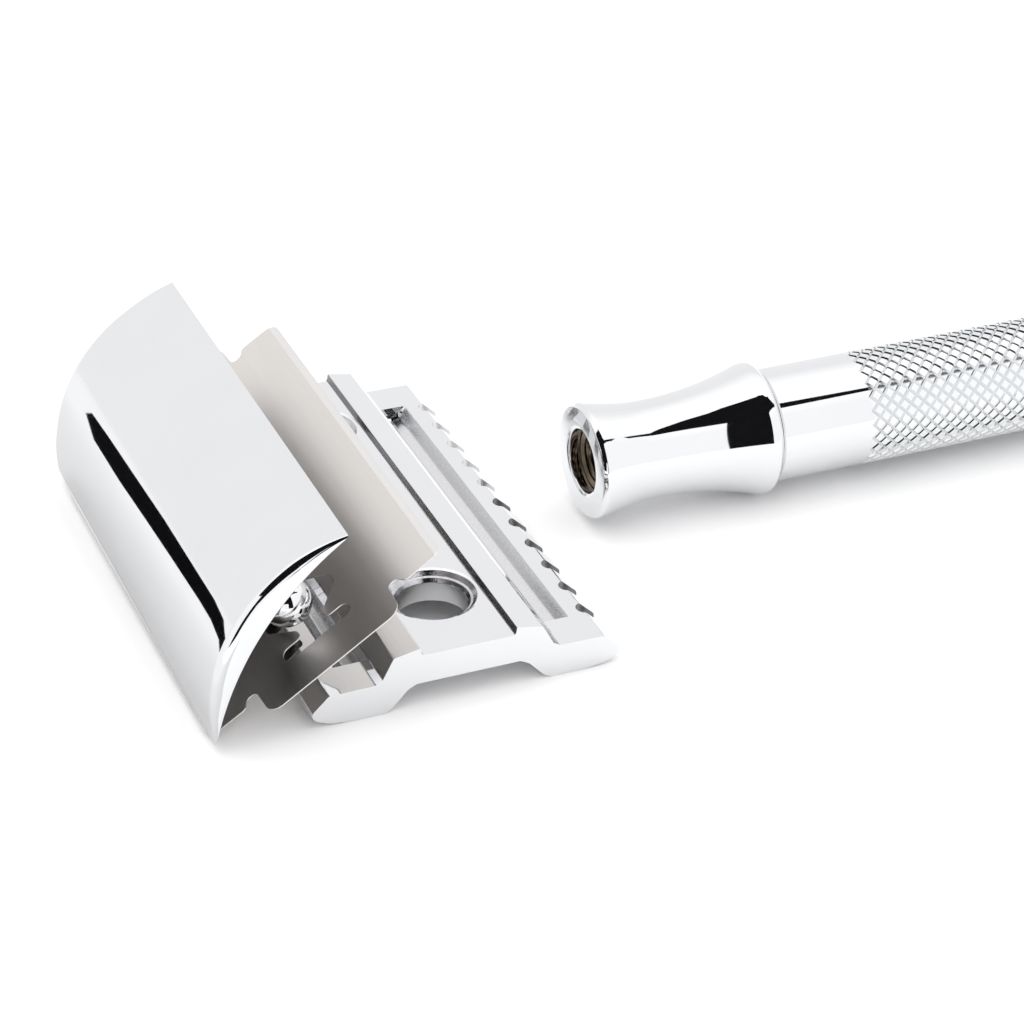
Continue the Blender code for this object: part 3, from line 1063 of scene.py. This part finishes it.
@dataclass
class Blade:
    """The thin double-edge blade, ground to a wedge along both long edges."""

    layout: Layout
    half_width: float = 0.01105
    thickness: float = 0.00010
    wedge: float = 0.0006
    edge_thickness: float = 0.000015

    def outer(self) -> list[Point]:
        """Outer edge of the blade in its own plane.

        Returns:
            The closed outline.
        """
        corners: list[Corner] = [
            (11.05, 0.0, 0.0), (11.05, 19.15, 1.0), (7.6, 19.2, 0.45), (7.1, 18.35, 0.55),
            (6.25, 18.45, 0.45), (6.1, 21.6, 1.15), (0.0, 21.6, 0.0)]
        return four_quarters(rounded(corners, closed=False, steps=8))

    def cutout(self) -> list[Point]:
        """The opening down the middle: centre hole, bridges, post openings and end slots.

        Returns:
            The closed outline.
        """
        round_part = circle(3.15, 8, 76.2, 16)
        corners: list[Corner] = [
            (0.75, 10.9, 0.3), (2.3, 12.0, 0.6), (3.3, 12.75, 0.45), (3.2, 13.85, 0.4),
            (1.2, 15.75, 0.6), (1.2, 16.65, 0.5), (3.15, 16.65, 0.68), (3.15, 18.05, 0.68),
            (0.0, 18.05, 0.0)]
        start: list[Corner] = [(x, y, 0.0) for x, y in round_part]
        return four_quarters([(3.15 * MM, 0.0)] + rounded(start + corners, closed=False, steps=8))

    def build(self) -> None:
        """Make the blade: two faces, their walls, and the ground wedges."""
        loops = [self.outer(), self.cutout()]
        flat = [[Vector((x, y, 0.0)) for x, y in loop] for loop in loops]
        points = [p for loop in flat for p in loop]
        work = bmesh.new()
        half = self.thickness / 2
        top = [work.verts.new((p.x, p.y, half)) for p in points]
        bottom = [work.verts.new((p.x, p.y, -half)) for p in points]
        for a, b, c in tessellate_polygon(flat):
            work.faces.new((top[a], top[b], top[c]))
            work.faces.new((bottom[c], bottom[b], bottom[a]))
        start = 0
        for loop in flat:
            for k in range(len(loop)):
                a = start + k
                b = start + (k + 1) % len(loop)
                work.faces.new((top[a], top[b], bottom[b], bottom[a]))
            start += len(loop)
        bmesh.ops.remove_doubles(work, verts=work.verts, dist=TOUCHING)
        line = self.half_width - self.wedge
        for side in (-1, 1):
            geometry = work.verts[:] + work.edges[:] + work.faces[:]
            bmesh.ops.bisect_plane(work, geom=geometry, plane_co=(side * line, 0, 0),
                                   plane_no=(side, 0, 0))
        for vert in work.verts:
            past = max(0.0, (abs(vert.co.x) - line) / self.wedge)
            vert.co.z *= 1 - past * (1 - self.edge_thickness / self.thickness)
        bmesh.ops.recalc_face_normals(work, faces=work.faces)
        honed = [abs(face.calc_center_median().x) > line + 1e-6 for face in work.faces]
        mesh = bpy.data.meshes.new("double_edge_blade")
        work.to_mesh(mesh)
        work.free()
        blade = lay(new_object("double_edge_blade", mesh), self.layout.blade())
        dress(blade, GROUND)
        mesh.materials.append(HONED.material())
        for index, past in enumerate(honed):
            mesh.polygons[index].material_index = int(past)
        settle(blade, "blade", "blade")


# Handle ---------------------------------------------------------------------

@dataclass
class Handle:
    """Neck, threaded bush, knurled grip, tie rod and end knob on one axis."""

    layout: Layout
    grip_radius: float = 0.00484
    grip_start: float = 0.0162
    grip_end: float = 0.0780
    knurl_start: float = 0.0245
    knurl_end: float = 0.0737
    knurl_rows: int = 41
    knurl_around: int = 25
    knurl_cells: int = 6
    knurl_depth: float = 0.00022
    knurl_clear: float = 0.0002
    tube_bore: float = 0.0036
    tube_edge: float = 0.00012
    bush_bore: float = 0.0021
    bush_span: Point = (0.0012, 0.0100)
    bush_thread: float = 0.0004
    rod_radius: float = 0.0020
    rod_shank: float = 0.0018
    rod_span: Point = (0.0111, 0.0815)
    rod_thread: float = 0.0003
    rod_pitch: float = 0.0007

    def piece(self, node: str, finish: Finish, shape: bpy.types.Object,
              body: str = "handle") -> None:
        """Put a turned piece on the handle's axis and give it its finish."""
        settle(dress(lay(shape, self.layout.handle()), finish), body, node)

    def build_neck(self) -> None:
        """The neck: rim, waist and flared lip, with the mouth for the screw."""
        waist = flowing([(4.84, 0.62), (4.72, 1.35), (4.46, 2.8), (4.23, 4.4), (4.16, 6.0),
                         (4.21, 7.8), (4.38, 9.6), (4.66, 11.4), (5.04, 13.05), (5.36, 14.2),
                         (5.54, 14.8), (5.6, 15.2)], 8)
        mouth = rounded([(3.35, 1.2, 0.0), (2.7, 1.2, 0.0), (2.7, 0.12, 0.12), (2.98, 0.0, 0.15),
                         (4.62, 0.0, 0.2), (4.86, 0.35, 0.25), (4.84, 0.62, 0.0)], closed=False)
        tail = rounded([(5.6, 15.2, 0.0), (5.6, 15.55, 0.25), (5.3, 15.9, 0.2), (3.3, 15.9, 0.0),
                        (3.3, 19.9, 0.0), (2.3, 19.9, 0.0), (2.3, 10.5, 0.0), (3.35, 10.5, 0.0)],
                       closed=False)
        profile = mouth[:-1] + waist[:-1] + tail
        self.piece("neck", CHROME, shaded(turned("handle_neck", profile, 160, closed=True)))

    def build_bush(self) -> None:
        """The threaded bush behind the neck's mouth."""
        low, high = self.bush_span
        thread = Thread(low, high, self.bush_bore, self.bush_thread, inward=True)
        bore = [(self.bush_bore, z) for z in heights(low, high, 0.0001)]
        outside = [(self.bush_bore, 0.0102), (0.0031, 0.0102), (0.0031, 0.0015),
                   (0.00262, 0.0015), (0.00262, 0.0011), (0.0024, 0.0010)]
        bush = turned("threaded_bush", bore + outside, 72, closed=True, relief=thread)
        self.piece("thread_insert", BRASS, shaded(bush), "thread_insert")

    def build_grip(self) -> None:
        """The grip tube: plain bands at its ends and diamonds between them."""
        pitch = (self.knurl_end - self.knurl_start) / self.knurl_rows
        step = pitch / self.knurl_cells
        knurl = DiamondKnurl(self.knurl_start, self.knurl_end + 1e-6, self.grip_radius,
                             self.knurl_depth, around=self.knurl_around, pitch=pitch,
                             groove=1 / self.knurl_cells)
        edge = self.tube_edge
        r = self.grip_radius
        outer = [(r - edge, self.grip_start), (r, self.grip_start + edge),
                 (r, self.knurl_start - self.knurl_clear)]
        outer += [(r, z) for z in heights(self.knurl_start, self.knurl_end, step)]
        outer += [(r, self.knurl_end + self.knurl_clear), (r, self.grip_end - edge),
                  (r - edge, self.grip_end)]
        profile = outer + [(self.tube_bore, self.grip_end), (self.tube_bore, self.grip_start)]
        segments = self.knurl_around * self.knurl_cells
        grip = shaded(turned("knurled_grip", profile, segments, closed=True, relief=knurl), 24)
        self.piece("grip_tube", KNURLED, grip)
        grip.data.materials.append(CHROME.material())
        for face in grip.data.polygons:
            past = self.knurl_clear / 2
            plain = not self.knurl_start - past < face.center.x < self.knurl_end + past
            face.material_index = int(plain)

    def build_rod(self) -> None:
        """The rod that ties neck and knob together, threaded at both ends."""
        low, high = self.rod_span
        thread = Thread(low, high, self.rod_radius, self.rod_thread, pitch=self.rod_pitch)
        body = [(self.rod_radius, z) for z in heights(low + 0.0003, 0.0198, 0.0001)]
        body += [(self.rod_shank, 0.0200), (self.rod_shank, 0.0740)]
        body += [(self.rod_radius, z) for z in heights(0.0742, high - 0.0003, 0.0001)]
        profile = [(0.0, low), (0.0016, low)] + body + [(0.0016, high), (0.0, high)]
        self.piece("tie_rod", STEEL, shaded(turned("tie_bar", profile, 40, relief=thread)))

    def build_knob(self) -> None:
        """The end knob, domed and waisted like the neck's lip."""
        dome = flowing([(0.0, 86.0), (1.5, 85.93), (2.9, 85.72), (4.05, 85.33), (4.9, 84.74),
                        (5.42, 83.95), (5.6, 83.0), (5.5, 82.1), (5.15, 81.3), (4.66, 80.5),
                        (4.36, 79.9), (4.3, 79.3)], 6)
        tail = rounded([(4.3, 79.3, 0.0), (4.3, 79.0, 0.2), (4.72, 78.8, 0.12), (4.78, 78.3, 0.05),
                        (3.3, 78.3, 0.0), (3.3, 74.0, 0.0), (2.3, 74.0, 0.0), (2.3, 81.8, 0.0),
                        (0.0, 81.8, 0.0)], closed=False)
        self.piece("pommel", CHROME, shaded(turned("end_knob", dome[:-1] + tail, 144)))

    def build(self) -> None:
        """Make the handle's five pieces."""
        self.build_neck()
        self.build_bush()
        self.build_grip()
        self.build_rod()
        self.build_knob()


# Studio ---------------------------------------------------------------------

@dataclass
class Studio:
    """White floor and tent, one soft lamp, dark flags, a grey card with a painted shadow, and the
    camera.
    """

    layout: Layout
    floor_half: float = 1500.0
    floor_at: float = -0.02
    floor_tone: Tone = (0.92, 0.92, 0.92)
    flag_tone: Tone = (0.006, 0.006, 0.007)
    dullness: float = 0.9
    tent_low: Tone = (1.04, 1.04, 1.05)
    tent_high: Tone = (1.22, 1.22, 1.22)
    lamp_at: Corner = (-0.10, -0.10, 0.60)
    lamp_size: float = 0.9
    lamp_power: float = 1.1
    lens: float = 108.6
    camera_offset: Corner = (-0.0723, -0.1995, 0.1333)

    def plain(self, name: str, colour: Tone) -> bpy.types.Material:
        """A plain dull material for the studio's own things.

        Args:
            name: the material's name.
            colour: its colour.

        Returns:
            The material.
        """
        material = bpy.data.materials.new(name)
        material.use_nodes = True
        shader = material.node_tree.nodes["Principled BSDF"]
        shader.inputs["Base Color"].default_value = (*colour, 1.0)
        shader.inputs["Roughness"].default_value = self.dullness
        shader.inputs["Specular IOR Level"].default_value = 0.0
        return material

    def panel(self, name: str, corners: Sequence[Corner],
              material: bpy.types.Material) -> bpy.types.Object:
        """A flat panel between corners given in millimetres.

        Args:
            name: the panel's name.
            corners: its corners, in order round it.
            material: its material.

        Returns:
            The panel.
        """
        mesh = bpy.data.meshes.new(name)
        points = [tuple(c * MM for c in corner) for corner in corners]
        mesh.from_pydata(points, [], [tuple(range(len(corners)))])
        mesh.materials.append(material)
        obj = new_object(name, mesh)
        return obj

    def flag(self, name: str, corners: Sequence[Corner]) -> bpy.types.Object:
        """A dark flag that only mirror-like metal sees.

        Args:
            name: the flag's name.
            corners: its corners, in order round it, in millimetres.

        Returns:
            The flag.
        """
        obj = self.panel(name, corners, self.plain(name, self.flag_tone))
        obj.visible_camera = False
        obj.visible_diffuse = False
        obj.visible_shadow = False
        return obj

    def shadow_card(self) -> None:
        """A card laid on the table beside the cap and seen only in reflections, with the cap's
        shadow painted on it, greyest where it is nearest.
        """
        low, high = 0.15, 1200
        near, far = -61, -900
        shadow_card = self.flag("painted_shadow_card", [(far, -45, low), (near, -45, low), (near, high, low),
                                        (far, high, low)])
        tree = shadow_card.data.materials[0].node_tree
        place = tree.nodes.new("ShaderNodeTexCoord")
        split = tree.nodes.new("ShaderNodeSeparateXYZ")
        tree.links.new(place.outputs["Object"], split.inputs["Vector"])
        # Painted shadow: the card darkens towards the cap, where the cap's shadow on the table
        # would lie.
        shadow_fade = range_node(tree, split.outputs["X"], 0.66, 0.82, near * MM, -0.084)
        tree.links.new(shadow_fade, tree.nodes["Principled BSDF"].inputs["Base Color"])

    def world(self) -> None:
        """The white tent round the table, brighter overhead and towards the front."""
        world = bpy.data.worlds.new("white_tent")
        bpy.context.scene.world = world
        world.use_nodes = True
        tree = world.node_tree
        background = tree.nodes["Background"]
        place = tree.nodes.new("ShaderNodeTexCoord")
        split = tree.nodes.new("ShaderNodeSeparateXYZ")
        tree.links.new(place.outputs["Generated"], split.inputs["Vector"])
        ramp = tree.nodes.new("ShaderNodeValToRGB")
        stops = ((0.62, self.tent_low), (0.92, self.tent_high))
        for element, (position, tone) in zip(ramp.color_ramp.elements, stops):
            element.position = position
            element.color = (*tone, 1.0)
        tree.links.new(split.outputs["Z"], ramp.inputs["Fac"])
        tree.links.new(ramp.outputs["Color"], background.inputs["Color"])
        front = range_node(tree, split.outputs["Y"], 1.14, 1.0, 0.3, 0.7)
        tree.links.new(front, background.inputs["Strength"])

    def lamp(self) -> None:
        """The large soft lamp, aimed at the razor's middle."""
        data = bpy.data.lights.new("overhead_softbox", "AREA")
        data.shape = "SQUARE"
        data.size = self.lamp_size
        data.energy = self.lamp_power
        lamp = new_object("overhead_softbox", data)
        lamp.location = self.lamp_at
        lamp.visible_glossy = False
        lamp.rotation_euler = (-Vector(self.lamp_at)).to_track_quat("-Z", "Y").to_euler()

    def camera(self) -> None:
        """The camera, above and in front of the head's near end."""
        data = bpy.data.cameras.new("camera")
        data.sensor_width = 36.0
        data.lens = self.lens
        data.clip_start = 0.01
        data.clip_end = 10.0
        camera = new_object("camera", data)
        across = Vector((0.9237, -0.3830, 0.0133))
        upward = Vector((0.1886, 0.4846, 0.8542))
        back = Vector((-0.3335, -0.7865, 0.5198))
        turn = Matrix((across, upward, back)).transposed().to_4x4()
        spot = self.layout.plate + Vector(self.camera_offset)
        camera.matrix_world = Matrix.Translation(spot) @ turn
        bpy.context.scene.camera = camera

    def build(self) -> None:
        """Set the floor, the light, the flags and the camera."""
        wide, low = self.floor_half, self.floor_at
        self.panel("floor", [(-wide, -wide, low), (wide, -wide, low), (wide, wide, low),
                             (-wide, wide, low)], self.plain("white_table", self.floor_tone))
        self.world()
        self.lamp()
        stripe = [(39.0, 5.4), (35.6, 3.1), (27.8, 3.4), (19.9, 4.4), (12.4, 5.2), (5.5, 5.8),
                  (2.3, 5.8), (-0.2, 4.8), (-1.0, 2.7), (-1.8, 3.7), (-1.2, 6.5), (0.7, 8.9),
                  (3.6, 9.6), (10.2, 9.4), (17.1, 9.2), (24.5, 8.5), (32.3, 7.8), (37.9, 7.1)]
        self.flag("cap_stripe_flag", [(-75, y, z) for y, z in stripe])
        self.shadow_card()
        overhead = [(-40, -36), (10, -40), (33, -56), (68, -66), (112, -97), (160, -134),
                    (250, -114), (250, -146), (160, -178), (112, -186), (68, -204), (33, -228),
                    (10, -242), (-500, -242), (-500, 20), (-120, 0)]
        self.flag("overhead_flag", [(x, y, 300) for x, y in overhead])
        standing = [(-500, 3), (-250, 3), (-250, 90), (-80, 90), (-80, 4), (2, 4), (2, 300),
                    (-500, 300)]
        self.flag("standing_flag", [(x, -242, z) for x, z in standing])
        self.camera()
        view = bpy.context.scene.view_settings
        view.view_transform = "Standard"
        view.exposure = 0.0


def main() -> None:
    """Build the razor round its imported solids, then the studio."""
    logging.basicConfig(level=logging.INFO, format="%(name)s: %(message)s")
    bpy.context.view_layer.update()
    layout = Layout.measured()
    GuardPlate(layout).build()
    Cap(layout).build()
    Blade(layout).build()
    Handle(layout).build()
    Studio(layout).build()


if __name__ == "__main__":
    main()
